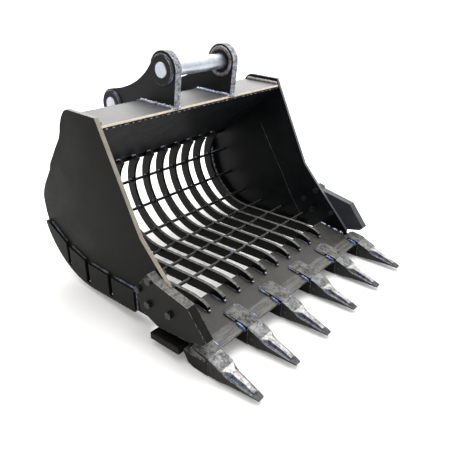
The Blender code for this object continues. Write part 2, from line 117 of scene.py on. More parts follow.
# --------------------------------------------------------------------------
# camera
# --------------------------------------------------------------------------
cam_data = bpy.data.cameras.new("camera")
cam_data.sensor_width = 36.0
cam_data.lens = 491.85 / 450.0 * 36.0
cam_data.clip_start, cam_data.clip_end = 0.05, 60.0
cam = bpy.data.objects.new("camera", cam_data)
scene.collection.objects.link(cam)
scene.camera = cam
AZ, EL = math.radians(-49.839), math.radians(25.591)
fwd = Vector((-math.sin(AZ) * math.cos(EL), math.cos(AZ) * math.cos(EL), -math.sin(EL)))
right = Vector((math.cos(AZ), math.sin(AZ), 0.0))
up = right.cross(fwd)
axes = Matrix((right, up, -fwd)).transposed().to_4x4()
cam.matrix_world = STAND @ Matrix.Translation((-1.66732, -0.95336, 1.21046)) @ axes

# --------------------------------------------------------------------------
# materials
# --------------------------------------------------------------------------


class Nodes:
    """A short way to write a node tree."""

    def __init__(self, name):
        self.mat = bpy.data.materials.new(name)
        self.mat.use_nodes = True
        self.t = self.mat.node_tree
        self.bsdf = self.t.nodes["Principled BSDF"]
        self.coord = self.t.nodes.new("ShaderNodeTexCoord").outputs["Object"]

    def new(self, kind, **props):
        n = self.t.nodes.new("ShaderNode" + kind)
        for k, v in props.items():
            setattr(n, k, v)
        return n

    def link(self, a, b):
        self.t.links.new(a, b)

    def scaled(self, s):
        m = self.new("Mapping")
        m.inputs["Scale"].default_value = s
        self.link(self.coord, m.inputs["Vector"])
        return m.outputs["Vector"]

    def noise(self, scale, detail=4.0, rough=0.55, stretch=None, dist=0.0):
        n = self.new("TexNoise")
        n.inputs["Scale"].default_value = scale
        n.inputs["Detail"].default_value = detail
        n.inputs["Roughness"].default_value = rough
        n.inputs["Distortion"].default_value = dist
        self.link(self.scaled(stretch) if stretch else self.coord, n.inputs["Vector"])
        return n.outputs["Fac"]

    def ramp(self, fac, stops):
        r = self.new("ValToRGB")
        els = r.color_ramp.elements
        while len(els) > 1:
            els.remove(els[-1])
        els[0].position, els[0].color = stops[0][0], (*stops[0][1], 1.0)
        for pos, col in stops[1:]:
            e = els.new(pos)
            e.color = (*col, 1.0)
        self.link(fac, r.inputs["Fac"])
        return r.outputs["Color"]

    def curve(self, fac, a, b, lo, hi):
        m = self.new("MapRange", clamp=True)
        m.inputs["From Min"].default_value = a
        m.inputs["From Max"].default_value = b
        m.inputs["To Min"].default_value = lo
        m.inputs["To Max"].default_value = hi
        self.link(fac, m.inputs["Value"])
        return m.outputs["Result"]

    def math(self, op, a, b):
        m = self.new("Math", operation=op)
        for k, v in ((0, a), (1, b)):
            if isinstance(v, (int, float)):
                m.inputs[k].default_value = v
            else:
                self.link(v, m.inputs[k])
        return m.outputs[0]

    def mix(self, fac, a, b):
        m = self.new("Mix", data_type='RGBA')
        self.link(fac, m.inputs[0])
        for k, v in ((6, a), (7, b)):
            if isinstance(v, tuple):
                m.inputs[k].default_value = (*v, 1.0)
            else:
                self.link(v, m.inputs[k])
        return m.outputs[2]

    def edges(self, radius, seed_scale=60.0, lo=0.02, hi=0.16):
        """1 on edges, broken up by noise: used for worn edges and for painted edge highlights."""
        bev = self.new("Bevel", samples=4)
        bev.inputs["Radius"].default_value = radius
        geo = self.new("NewGeometry")
        dot = self.new("VectorMath", operation='DOT_PRODUCT')
        self.link(bev.outputs["Normal"], dot.inputs[0])
        self.link(geo.outputs["Normal"], dot.inputs[1])
        inv = self.math('SUBTRACT', 1.0, dot.outputs["Value"])
        e = self.curve(inv, lo, hi, 0.0, 1.0)
        n = self.curve(self.noise(seed_scale, 6.0, 0.7), 0.42, 0.60, 0.0, 1.0)
        return self.math('MULTIPLY', e, n)

    def facing(self, direction, lo, hi):
        """1 where the surface faces a fixed direction."""
        geo = self.new("NewGeometry")
        dot = self.new("VectorMath", operation='DOT_PRODUCT')
        dot.inputs[1].default_value = direction
        self.link(geo.outputs["Normal"], dot.inputs[0])
        return self.curve(dot.outputs["Value"], lo, hi, 0.0, 1.0)

    def bump(self, parts):
        """Chain of (height, strength, distance) bumps."""
        last = None
        for h, s, d in parts:
            b = self.new("Bump")
            b.inputs["Strength"].default_value = s
            b.inputs["Distance"].default_value = d
            self.link(h, b.inputs["Height"])
            if last is not None:
                self.link(last, b.inputs["Normal"])
            last = b.outputs["Normal"]
        self.link(last, self.bsdf.inputs["Normal"])

    def set(self, **kw):
        names = {"color": "Base Color", "rough": "Roughness", "metal": "Metallic",
                 "spec": "Specular IOR Level", "coat": "Coat Weight",
                 "coat_rough": "Coat Roughness"}
        for k, v in kw.items():
            s = self.bsdf.inputs[names[k]]
            if isinstance(v, tuple):
                s.default_value = (*v, 1.0)
            elif isinstance(v, (int, float)):
                s.default_value = v
            else:
                self.link(v, s)


def paint(name, base, dusty, rough=(0.34, 0.52), spec=0.35, edge_wear_and_highlight=(0.30, 0.29, 0.28),
          edge_wear_and_highlight_range=(0.03, 0.2), peel=0.10, mill=0.18, edge=0.0022, face=None, metal=0.7, glare_band=None):
    """Satin paint over rolled plate: dust film, brushed streaks, and an edge colour that is wear on some pieces and
    a painted highlight on others.
    """
    n = Nodes(name)
    broad = n.noise(2.6, 5.0, 0.6)
    film = n.noise(9.0, 6.0, 0.65, dist=0.6)
    streak = n.noise(5.0, 6.0, 0.7, stretch=(3.0, 1.0, 7.0))
    speck = n.noise(240.0, 2.0, 0.6)
    c = n.ramp(broad, [(0.30, tuple(0.82 * v for v in base)), (0.70, base)])
    c = n.mix(n.curve(film, 0.45, 0.75, 0.0, 0.55), c, dusty)
    c = n.mix(n.curve(streak, 0.55, 0.80, 0.0, 0.30), c, dusty)
    c = n.mix(n.curve(speck, 0.66, 0.74, 0.0, 0.5), c, tuple(1.9 * v for v in dusty))
    if face:
        # colour on the faces turned one way: (direction, lo, hi, dark, light); on the ribs, bars and near cutter a
        # painted highlight on upward faces, on the lip painted shade on the front face
        direction, lo, hi, fa, fb = face
        grain = n.noise(75.0, 6.0, 0.75, dist=0.3)
        c = n.mix(n.facing(direction, lo, hi), c, n.ramp(grain, [(0.36, fa), (0.62, fb)]))
    if glare_band:
        # painted glare: a lighter, streaky strip in front of a line across the piece, standing in for light on the
        # lip's front bevel: (where, dark, light)
        at, ba, bb = glare_band
        sep = n.new("SeparateXYZ")
        n.link(n.coord, sep.inputs[0])
        wobble = n.math('MULTIPLY', n.noise(22.0, 5.0, 0.6), 0.030)
        mask = n.curve(n.math('ADD', sep.outputs["Y"], wobble), at + 0.010, at + 0.022, 1.0, 0.0)
        glare_streaks = n.noise(16.0, 6.0, 0.75, stretch=(0.7, 6.0, 1.0))
        c = n.mix(mask, c, n.ramp(glare_streaks, [(0.38, ba), (0.62, bb)]))
    # edge colour: worn metal, and on the near cutter and the lip a painted edge highlight
    e = n.edges(edge, 55.0, *edge_wear_and_highlight_range)
    c = n.mix(e, c, edge_wear_and_highlight)
    r = n.curve(film, 0.3, 0.75, rough[0], rough[1])
    r = n.math('ADD', r, n.curve(speck, 0.55, 0.8, 0.0, 0.10))
    n.set(color=c, rough=r, spec=spec, metal=n.math('MULTIPLY', e, metal))
    n.bump([(n.noise(38.0, 3.0, 0.5), mill, 0.0012), (n.noise(420.0, 2.0, 0.5), peel, 0.0003)])
    return n.mat


def cast(name, dark, light, rough=(0.45, 0.68), spec=0.5, metal=0.25, lump=0.55,
         edge=(0.42, 0.43, 0.46), flank_shade=None):
    """Rough sand-cast steel with a thin worn coat."""
    n = Nodes(name)
    lumps = n.noise(46.0, 5.0, 0.62)
    fine = n.noise(170.0, 4.0, 0.65)
    broad = n.noise(14.0, 4.0, 0.6)
    pits = n.new("TexVoronoi")
    pits.inputs["Scale"].default_value = 130.0
    n.link(n.coord, pits.inputs["Vector"])
    c = n.ramp(lumps, [(0.38, dark), (0.62, light)])
    c = n.mix(n.curve(fine, 0.52, 0.66, 0.0, 0.7), c, tuple(min(1.0, 1.5 * v) for v in light))
    c = n.mix(n.curve(broad, 0.5, 0.7, 0.0, 0.35), c, tuple(0.55 * v for v in dark))
    if flank_shade:
        # painted light and shade: the upward faces keep the bright cast colour as lit, the flanks take the given
        # dark colour as painted shade
        c = n.mix(n.facing((0.0, -0.2, 0.98), 0.35, 0.75), flank_shade, c)
    # edge colour: worn metal, and on the point tops a painted blue-white highlight
    e = n.edges(0.0030, 80.0, 0.010, 0.11)
    c = n.mix(e, c, edge)
    n.set(color=c, rough=n.curve(lumps, 0.3, 0.7, rough[0], rough[1]), spec=spec, metal=metal)
    n.bump([(lumps, lump, 0.0022), (fine, 0.45, 0.0008),
            (n.curve(pits.outputs["Distance"], 0.0, 0.35, 0.0, 1.0), 0.25, 0.0006)])
    return n.mat


def weld(name, dark, light, metal=0.85, rough=(0.22, 0.42)):
    """Bright weld metal with a thin blue heat tint."""
    n = Nodes(name)
    a = n.noise(70.0, 4.0, 0.6)
    b = n.noise(24.0, 3.0, 0.5)
    c = n.ramp(a, [(0.30, dark), (0.66, light)])
    c = n.mix(n.curve(b, 0.52, 0.70, 0.0, 0.55), c, (0.24, 0.34, 0.62))
    n.set(color=c, rough=n.curve(a, 0.3, 0.7, rough[0], rough[1]), metal=metal, spec=0.5)
    n.bump([(n.noise(260.0, 3.0, 0.6), 0.30, 0.0006)])
    return n.mat


def steel(name):
    """Turned pin steel: fine rings round the X axis and a light smear of grease."""
    n = Nodes(name)
    rings = n.noise(1.0, 3.0, 0.5, stretch=(900.0, 3.0, 3.0))
    smear = n.noise(18.0, 4.0, 0.6)
    c = n.ramp(smear, [(0.35, (0.40, 0.44, 0.50)), (0.70, (0.62, 0.66, 0.72))])
    n.set(color=c, rough=n.curve(smear, 0.3, 0.7, 0.26, 0.44), metal=0.85, spec=0.5)
    n.bump([(rings, 0.18, 0.0003), (n.noise(120.0, 2.0), 0.08, 0.0004)])
    return n.mat


FRONT = (0.0, -0.80, 0.60)
M_PLATE = paint("paint_plate", (0.0064, 0.0065, 0.0059), (0.0155, 0.0154, 0.0135), spec=0.09,
                rough=(0.40, 0.60), edge_wear_and_highlight=(0.16, 0.155, 0.145))
M_EAR = paint("paint_ear", (0.0080, 0.0082, 0.0090), (0.018, 0.018, 0.019), spec=0.14,
              edge_wear_and_highlight=(0.20, 0.20, 0.21), peel=0.14,
              face=((0.0, -0.97, 0.25), 0.45, 0.80, (0.020, 0.024, 0.034), (0.44, 0.46, 0.50)))
M_INSIDE = paint("paint_inside", (0.0050, 0.0058, 0.0070), (0.0125, 0.0135, 0.0150), spec=0.10,
                 edge_wear_and_highlight=(0.10, 0.10, 0.11))
M_TOP = paint("paint_top", (0.120, 0.120, 0.124), (0.195, 0.190, 0.184), rough=(0.50, 0.66), spec=0.35,
              edge_wear_and_highlight=(0.60, 0.52, 0.42), metal=0.0, mill=0.3,
              face=((0.0, -1.0, 0.0), 0.45, 0.75, (0.62, 0.52, 0.40), (0.92, 0.82, 0.68)))
# painted highlight: the ribs' upward faces are painted light grey as lit from above, the rest stays black
M_GRID_LIT_TOPS = paint("paint_grid_lit_tops", (0.0050, 0.0054, 0.0060), (0.0125, 0.0125, 0.0120), rough=(0.34, 0.50),
               spec=0.09, edge_wear_and_highlight=(0.30, 0.29, 0.27), edge_wear_and_highlight_range=(0.03, 0.16), edge=0.0016,
               face=((0.0, 0.0, 1.0), 0.62, 0.98, (0.060, 0.059, 0.056), (0.215, 0.21, 0.198)))
# painted highlight: the bars' upward faces are painted light grey as lit from above
M_BAR_LIT_TOPS = paint("paint_bar_lit_tops", (0.0085, 0.0090, 0.0095), (0.020, 0.020, 0.019), rough=(0.30, 0.46),
              spec=0.30, edge_wear_and_highlight=(0.20, 0.20, 0.20), edge=0.0012,
              face=((0.0, 0.0, 1.0), 0.70, 1.0, (0.030, 0.030, 0.029), (0.13, 0.128, 0.122)))
# lip: the front bevel band is painted glare, the front face is darkened as painted shade, and the cream edge colour
# is a painted highlight line along with wear
M_LIP = paint("paint_lip", (0.031, 0.029, 0.025), (0.082, 0.078, 0.069), rough=(0.46, 0.66),
              spec=0.35, edge_wear_and_highlight=(0.62, 0.55, 0.46), edge_wear_and_highlight_range=(0.004, 0.06), mill=0.6, peel=0.4,
              glare_band=(-0.372, (0.044, 0.042, 0.038), (0.135, 0.131, 0.122)),
              face=((0.0, -1.0, 0.0), 0.80, 0.95, (0.010, 0.008, 0.006), (0.022, 0.017, 0.013)))
# lit and shaded copies of one cut edge: the near leading edge is painted cream as lit, the far one darker blue-grey
# as painted shade
M_EDGE = paint("edge_strip", (0.25, 0.225, 0.185), (0.44, 0.395, 0.330), rough=(0.45, 0.62),
               spec=0.4, edge_wear_and_highlight=(0.62, 0.57, 0.49), mill=0.5, metal=0.2)
M_EDGE_FAR_SHADED = paint("edge_strip_far_shaded", (0.10, 0.105, 0.120), (0.20, 0.205, 0.22), rough=(0.40, 0.58),
                   spec=0.4, edge_wear_and_highlight=(0.46, 0.50, 0.60), mill=0.5, metal=0.2)
M_RIM_TOP = paint("edge_top", (0.075, 0.076, 0.080), (0.16, 0.16, 0.165), rough=(0.40, 0.56),
                  spec=0.4, edge_wear_and_highlight=(0.40, 0.38, 0.34), mill=0.5, metal=0.2)
# lit and shaded copies of one side cutter: the far cutter is painted slate as lit, the near one nearly black as
# painted shade, with painted highlights on its upward faces and along its edges
M_CUTTER = paint("paint_cutter", (0.040, 0.043, 0.054), (0.080, 0.084, 0.098), rough=(0.40, 0.55),
                 spec=0.30, edge_wear_and_highlight=(0.46, 0.50, 0.60), edge_wear_and_highlight_range=(0.006, 0.08), mill=0.4)
M_CUTTER_NEAR_SHADE_HIGHLIGHT = paint("paint_cutter_near_shade_highlight", (0.0070, 0.0071, 0.0068), (0.016, 0.016, 0.0145), spec=0.10,
                      edge_wear_and_highlight=(0.34, 0.32, 0.29), edge_wear_and_highlight_range=(0.004, 0.06), edge=0.0028, metal=0.2,
                      face=((0.0, -0.13, 0.99), 0.82, 0.96, (0.040, 0.038, 0.035), (0.19, 0.185, 0.172)))
# lit and shaded copies of one cast steel: the points' upper faces are painted light grey as lit, their flanks and
# underside nearly black as painted shade; the blue-white edge colour is a painted highlight
M_CAST = cast("cast_point", (0.040, 0.041, 0.044), (0.23, 0.232, 0.236), rough=(0.28, 0.50),
              metal=0.45, lump=1.0, edge=(0.50, 0.54, 0.64))
M_CAST_SIDE_SHADED = cast("cast_side_shaded", (0.0060, 0.0062, 0.0068), (0.014, 0.014, 0.015), metal=0.0,
                   rough=(0.34, 0.55), spec=0.18, lump=0.35, edge=(0.10, 0.11, 0.13))
M_TIP = cast("cast_tip", (0.020, 0.021, 0.024), (0.060, 0.062, 0.068), metal=0.5,
             rough=(0.30, 0.50), lump=0.4, edge=(0.22, 0.23, 0.25))
M_RIDGE = cast("cast_ridge", (0.15, 0.147, 0.140), (0.50, 0.49, 0.47), metal=0.45,
               rough=(0.28, 0.48), lump=0.35, edge=(0.70, 0.69, 0.67))
M_BLUED = cast("cast_wall", (0.030, 0.042, 0.085), (0.12, 0.17, 0.32), metal=0.6,
               rough=(0.24, 0.42), lump=0.4, edge=(0.35, 0.40, 0.52))
# painted shade on the adapters' flanks, painted light on their tops
M_ADAPT = cast("cast_adapter", (0.022, 0.022, 0.021), (0.175, 0.172, 0.164), lump=1.0,
               metal=0.0, spec=0.16, flank_shade=(0.0052, 0.0055, 0.0062))
M_WELD = weld("weld_bright", (0.16, 0.19, 0.26), (0.62, 0.66, 0.74))
M_WELD_DULL = weld("weld_painted", (0.016, 0.017, 0.020), (0.105, 0.108, 0.116), metal=0.3,
                   rough=(0.30, 0.50))
M_WELD_BLUE = weld("weld_blued", (0.010, 0.016, 0.040), (0.20, 0.27, 0.50), metal=0.7,
                   rough=(0.22, 0.40))
M_WELD_RING = weld("weld_collar", (0.060, 0.055, 0.052), (0.33, 0.29, 0.27), metal=0.4,
                   rough=(0.30, 0.50))
M_PIN = steel("pin_steel_turned")
M_BOLT = paint("bolt_black", (0.010, 0.0105, 0.012), (0.026, 0.026, 0.028), rough=(0.28, 0.42),
               spec=0.35, edge_wear_and_highlight=(0.22, 0.23, 0.26), edge=0.0013)

# --------------------------------------------------------------------------
# mesh helpers
# --------------------------------------------------------------------------


def finish_piece(name, bm, mats, body, smooth=None, replaces=()):
    """Object in the drawing frame, stood up with the bucket and given to a body."""
    me = bpy.data.meshes.new(name)
    bm.to_mesh(me)
    bm.free()
    for m in mats:
        me.materials.append(m)
    ob = bpy.data.objects.new(name, me)
    scene.collection.objects.link(ob)
    ob.matrix_world = STAND
    if smooth is not None:
        me.shade_smooth()
        me.set_sharp_from_angle(angle=math.radians(smooth))
    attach(ob, body)
    if replaces:
        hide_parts(*replaces)
    return ob


def bead(bm, path, r, seed=0.0, ripple=0.16):
    """A run of weld laid along a path: a rippled, slightly wandering rod."""
    pts = [Vector(p) for p in path]
    seg = [(b - a).length for a, b in zip(pts, pts[1:])]
    total = sum(seg)
    if total < 1e-6:
        return
    n = max(4, int(total / (r * 0.55)))
    rings = []
    for i in range(n + 1):
        d = total * i / n
        acc, k = 0.0, 0
        while k < len(seg) - 1 and acc + seg[k] < d:
            acc += seg[k]
            k += 1
        p = pts[k].lerp(pts[k + 1], min(1.0, (d - acc) / max(seg[k], 1e-9)))
        t = (pts[k + 1] - pts[k]).normalized()
        side = t.cross(Vector((0.31, 0.52, 0.79))).normalized()
        other = t.cross(side).normalized()
        w = noise.noise(Vector((d * 130.0, seed * 7.3, 1.7)))
        rr = r * (1.0 + ripple * math.sin(i * 2.1) + 0.22 * w)
        end = min(i, n - i)
        if end == 0:
            rr *= 0.35
        elif end == 1:
            rr *= 0.82
        p = p + side * (r * 0.18 * noise.noise(Vector((d * 60.0, seed, 5.1))))
        rings.append([bm.verts.new(p + (side * math.cos(a) + other * math.sin(a)) * rr)
                      for a in (math.radians(45 * j) for j in range(8))])
    for a, b in zip(rings, rings[1:]):
        for j in range(8):
            bm.faces.new((a[j], a[(j + 1) % 8], b[(j + 1) % 8], b[j]))
    bm.faces.new(list(reversed(rings[0])))
    bm.faces.new(rings[-1])


def beads(name, runs, mat, body="bucket", ripple=0.16):
    bm = bmesh.new()
    for k, (path, r) in enumerate(runs):
        bead(bm, path, r, seed=k * 1.37, ripple=ripple)
    bmesh.ops.recalc_face_normals(bm, faces=bm.faces)
    return finish_piece(name, bm, [mat], body, smooth=70)


def dashed(a, b, on, off, jitter=0.15):
    """Stitch-weld paths between two points."""
    a, b = Vector(a), Vector(b)
    length = (b - a).length
    t = (b - a) / length
    out, d, k = [], off * 0.5, 0
    while d + on * 0.5 < length:
        e = min(d + on * (1.0 + jitter * math.sin(k * 2.7)), length - 0.002)
        out.append([a + t * d, a + t * e])
        d = e + off
        k += 1
    return out


def prism(outline, x0, x1, name, mats, body, chamfer=None, round_all=0.0015, replaces=(),
          face_mat=None):
    """Flat plate from an outline in u, v between x0 and x1.

    chamfer = (test, width): outer edges whose midpoint passes the test are cut back.
    """
    bm = bmesh.new()
    lo = [bm.verts.new((x0, u, v)) for u, v in outline]
    hi = [bm.verts.new((x1, u, v)) for u, v in outline]
    n = len(outline)
    bm.faces.new(lo)
    bm.faces.new(list(reversed(hi)))
    for i in range(n):
        j = (i + 1) % n
        bm.faces.new((lo[j], lo[i], hi[i], hi[j]))
    bmesh.ops.recalc_face_normals(bm, faces=bm.faces)
    if chamfer:
        test, width = chamfer
        picked = [e for e in bm.edges
                  if test((e.verts[0].co + e.verts[1].co) / 2,
                          abs(e.verts[0].co.x - e.verts[1].co.x) < 1e-6)]
        bmesh.ops.bevel(bm, geom=picked, offset=width, segments=2, profile=0.7,
                        affect='EDGES', clamp_overlap=True)
    if face_mat:
        for f in bm.faces:
            f.material_index = face_mat(f.calc_center_median(), f.normal)
    ob = finish_piece(name, bm, mats, body, smooth=40, replaces=replaces)
    if round_all:
        m = ob.modifiers.new("round", 'BEVEL')
        m.width = round_all
        m.segments = 2
        m.limit_method = 'ANGLE'
        m.angle_limit = math.radians(40)
    return ob


def repaint(names, mat, bevel=None):
    for n in names:
        ob = NODES[n]
        for s in ob.material_slots:
            s.material = mat
        if not ob.material_slots:
            ob.data.materials.append(mat)
        if bevel:
            m = ob.modifiers.new("round", 'BEVEL')
            m.width = bevel
            m.segments = 2
            m.limit_method = 'ANGLE'
            m.angle_limit = math.radians(38)
            m.harden_normals = False


# --------------------------------------------------------------------------
# shell plates
# --------------------------------------------------------------------------
def side_outline():
    pts = [(0.088, FLOOR_V)]
    pts += arc(SIDE_C, SIDE_R, -90.0, 5.0, 34)
    pts += [(1.026, 0.392), (1.008, 0.424), (0.953, 0.498), (0.940, 0.531),
            (0.882, 0.609), (0.841, 0.661), (0.829, 0.688), (0.821, 0.718),
            (0.806, 0.748), (0.790, 0.770), (0.774, 0.784), (0.756, 0.790)]
    pts += bez((0.581, 0.782), (0.462, 0.530), (0.375, 0.350), 20)
    pts += bez((0.375, 0.350), (0.300, 0.268), (0.088, 0.037), 12)[1:]
    return pts


def leading(u, v):
    """Whether a point lies on the leading or top edge of a side plate."""
    if v > 0.783:
        return False
    if v > 0.350:
        t = (v - 0.350) / 0.432
        return u < 0.375 + 0.206 * t + 0.03
    return v > 0.036 and u < 0.09 + (v - 0.037) / 0.313 * 0.285 + 0.03


for side, sx in (("left", -1), ("right", 1)):
    x_in, x_out = sx * INNER, sx * WIDTH / 2

    def edge_test(mid, is_flat, sx=sx, x_out=x_out):
        return is_flat and abs(mid.x - x_out) < 1e-5 and leading(mid.y, mid.z)

    def face_mat(c, nrm, sx=sx):
        if abs(nrm.x) < 0.93 and leading(c.y, c.z):
            return 1
        if abs(nrm.x) < 0.93 and c.z > 0.700:
            return 3
        return 2 if nrm.x * sx < -0.9 else 0

    # the near plate's leading edge takes the lit copy, the far plate's the shaded copy: painted light and shade
    prism(side_outline(), x_in, x_out, "side_shell_" + side,
          [M_PLATE, M_EDGE if sx < 0 else M_EDGE_FAR_SHADED, M_INSIDE, M_RIM_TOP],
          "bucket", chamfer=(lambda m, f, t=edge_test: t(m, f), 0.0055),
          round_all=0.0012, replaces=("side_plate_" + side,), face_mat=face_mat)

repaint(["inner_panel", "rear_plate"], M_INSIDE, 0.0015)
repaint(["top_plate"], M_TOP, 0.003)
repaint(["ear_left", "ear_right"], M_EAR, 0.0025)
repaint(["side_rim_left", "side_rim_right"], M_INSIDE, 0.0012)
repaint(["wear_pads_left", "wear_pads_right"], M_PLATE, 0.0009)
repaint(["corner_runner_left", "corner_runner_right"], M_PLATE, 0.002)
repaint(["lip_plate"], M_LIP, 0.0015)
repaint(["rib_%02d" % i for i in range(1, 11)], M_GRID_LIT_TOPS, 0.0014)
repaint(["cross_bar_%d" % i for i in range(1, 7)], M_BAR_LIT_TOPS)
repaint(["front_pin", "rear_pin"], M_PIN)
repaint(["adapter_%d" % i for i in range(1, 7)], M_ADAPT, 0.0035)
repaint(["point_lock_%d" % i for i in range(1, 7)], M_BOLT, 0.0005)
repaint(["cutter_bolt_%s_%d" % (s, k) for s in ("left", "right") for k in range(1, 5)],
        M_BOLT, 0.0008)
repaint(["side_cutter_right"], M_CUTTER, 0.002)
repaint(["side_cutter_left"], M_CUTTER_NEAR_SHADE_HIGHLIGHT, 0.0045)


# --------------------------------------------------------------------------
# tooth points
# --------------------------------------------------------------------------
def table(rows, u):
    """Linear reading of (u, value) rows that fall with u."""
    if u >= rows[0][0]:
        return rows[0][1]
    for (a, va), (b, vb) in zip(rows, rows[1:]):
        if u >= b:
            t = (u - a) / (b - a)
            return va + (vb - va) * t
    return rows[-1][1]


HALF = [(0.0, 0.0395), (-0.050, 0.0395), (-0.062, 0.0385), (-0.078, 0.0350), (-0.095, 0.0325),
        (-0.155, 0.0255), (-0.185, 0.0215), (-0.205, 0.0175), (-0.2175, 0.0150)]
EDGE_V = [(0.0, -0.0010), (-0.030, -0.0125), (-0.062, -0.0290), (-0.072, -0.0400),
          (-0.090, -0.0500), (-0.155, -0.0665), (-0.185, -0.0755), (-0.2175, -0.0835)]
RIDGE = [(0.0, -0.0010), (-0.030, -0.0125), (-0.062, -0.0275), (-0.090, -0.0345),
         (-0.155, -0.0560), (-0.190, -0.0725), (-0.2175, -0.0832)]
UNDER = [(0.0, -0.0840), (-0.062, -0.0812), (-0.090, -0.0802), (-0.155, -0.0825),
         (-0.185, -0.0855), (-0.2175, -0.0900)]


RIDGE_W = 0.37
ACROSS = [0.0, 0.13, 0.25, 0.33, 0.37, 0.40, 0.44, 0.49, 0.55, 0.62, 0.70, 0.79, 0.87, 0.92, 0.96, 1.0]
ACROSS = [-k for k in reversed(ACROSS[1:])] + ACROSS


def ease(t):
    t = min(1.0, max(0.0, t))
    return t * t * (3.0 - 2.0 * t)


def crest(u, s):
    """Height of the point's upper face at u and across at s in -1..1."""
    base = table(RIDGE, u)
    a = abs(s)
    if u > -0.061:
        return base - (0.0030 * ((a - 0.87) / 0.13) ** 1.4 if a > 0.87 else 0.0)
    edge = table(EDGE_V, u)
    k = min(1.0, max(0.0, (-u - 0.061) / 0.027))
    mid = 1.0 - (1.0 - RIDGE_W) * k
    if a <= mid:
        h = base
    else:
        # steep wall beside the ridge, hollow channel, raised outer edge
        t = (a - mid) / max(1e-6, 1.0 - mid)
        low = min(edge, base) - 0.0030 * k
        h = base + (low - base) * ease(t / 0.34)
        h += (edge - low) * ease((t - 0.45) / 0.45)
        if t > 0.93:
            h -= 0.0012 * (t - 0.93) / 0.07
    tip = ease((-u - 0.187) / 0.007)
    flat = edge + (base - edge) * 0.35 * (1.0 - a * a)
    return h * (1.0 - tip) + flat * tip


def build_point(i):
    bm = bmesh.new()
    x0 = tooth_x(i)
    us = [0.0 - 0.0006]
    us += [-0.006 * k for k in range(1, 11)]
    us += [-0.062 - 0.0035 * k for k in range(0, 10)]
    us += [-0.099 - 0.0075 * k for k in range(0, 12)]
    us += [-0.188, -0.194, -0.200, -0.206, -0.212, -0.2165, -0.2175]
    cols = len(ACROSS) - 1
    rings = []
    for u in us:
        hw = table(HALF, u)
        low = table(UNDER, u)
        end = 0.0 if u > -0.2168 else 0.0012
        hw -= end
        ring = []
        for c in range(cols + 1):
            s = ACROSS[c]
            ring.append((s * hw, u, crest(u, s) - end))
        r = ring[-1]
        for k in (0.08, 0.35, 0.65, 0.93):
            draft = 1.0 - 0.05 * k
            ring.append((hw * draft, u, r[2] + (low - r[2]) * k))
        for k in range(5):
            ring.append((hw * (0.93 - 0.93 * 2 * k / 4), u, low + end))
        l = ring[0]
        for k in (0.93, 0.65, 0.35, 0.08):
            draft = 1.0 - 0.05 * k
            ring.append((-hw * draft, u, l[2] + (low - l[2]) * k))
        rings.append(ring)
    # sand-cast unevenness, fading towards the worn tip and the fitted rear edge
    out = []
    for ri, ring in enumerate(rings):
        row = []
        for (x, u, v) in ring:
            p = Vector((x + x0 * 3.1, u, v))
            amt = 0.0017 if u > -0.060 else 0.0007
            if ri == 0:
                amt = 0.0002
            d = noise.noise(p * 85.0) * amt + noise.noise(p * 230.0) * amt * 0.5
            centre = Vector((0.0, u, -0.055))
            q = Vector((x, u, v))
            dirn = (q - centre).normalized()
            q += dirn * (d - 0.0003)
            row.append(bm.verts.new((q.x + x0, q.y, q.z)))
        out.append(row)
    n = len(out[0])
    top_cols = cols
    for a, b in zip(out, out[1:]):
        for j in range(n):
            k = (j + 1) % n
            f = bm.faces.new((a[j], a[k], b[k], b[j]))
            um = (a[j].co.y + b[j].co.y) / 2
            # flanks, underside and socket take the shaded copy: painted shade
            if j >= top_cols:
                f.material_index = 1
            elif um < -0.1885:
                f.material_index = 2
            else:
                sm = abs(ACROSS[j] + ACROSS[j + 1]) / 2
                k = min(1.0, max(0.0, (-um - 0.061) / 0.027))
                mid = 1.0 - (1.0 - RIDGE_W) * k
                if um < -0.061 and sm < mid:
                    f.material_index = 3
                elif um < -0.075 and sm < mid + 0.10:
                    f.material_index = 4
    f = bm.faces.new(out[-1])
    f.material_index = 2

    # the socket that fits over the adapter's nose
    def socket_ring(u, grow):
        t = (0.004 - u) / 0.099
        w = 0.026 - 0.006 * t + grow
        hi = -0.016 - 0.036 * t + grow
        lo = -0.070 + 0.003 * t - grow
        cz = (hi + lo) / 2
        hz = (hi - lo) / 2
        ring = []
        for (x, uu, v) in rings[0]:
            dx, dz = x, v - (-0.0425)
            m = max(abs(dx) / w, abs(dz) / hz, 1e-6)
            ring.append(bm.verts.new((dx / m + x0, u, dz / m + cz)))
        return ring

    s0 = socket_ring(-0.0006, 0.0009)
    s1 = socket_ring(-0.0955, 0.0009)
    for a, b in ((s0, out[0]), (s1, s0)):
        for j in range(n):
            k = (j + 1) % n
            f = bm.faces.new((a[j], a[k], b[k], b[j]))
            f.material_index = 1
    f = bm.faces.new(list(reversed(s1)))
    f.material_index = 1
    bmesh.ops.recalc_face_normals(bm, faces=bm.faces)
    finish_piece("cast_point_%d" % (i + 1), bm, [M_CAST, M_CAST_SIDE_SHADED, M_TIP, M_RIDGE, M_BLUED], "point_%d" % (i + 1),
                 smooth=32, replaces=("tooth_point_%d" % (i + 1),))


for i in range(6):
    build_point(i)

# --------------------------------------------------------------------------
# welds
# --------------------------------------------------------------------------
bars = bar_centres()
c2 = top_c()

# stitches under the top plate's front edge
beads("weld_top_front_root", [([(-0.577, 0.5700, 0.7375), (0.577, 0.5700, 0.7375)], 0.0040)], M_INSIDE)
runs = [(p, 0.0024) for p in dashed((-0.572, 0.5684, 0.7358), (0.572, 0.5684, 0.7358), 0.013, 0.019, 0.45)]
beads("weld_top_front", runs, M_WELD)

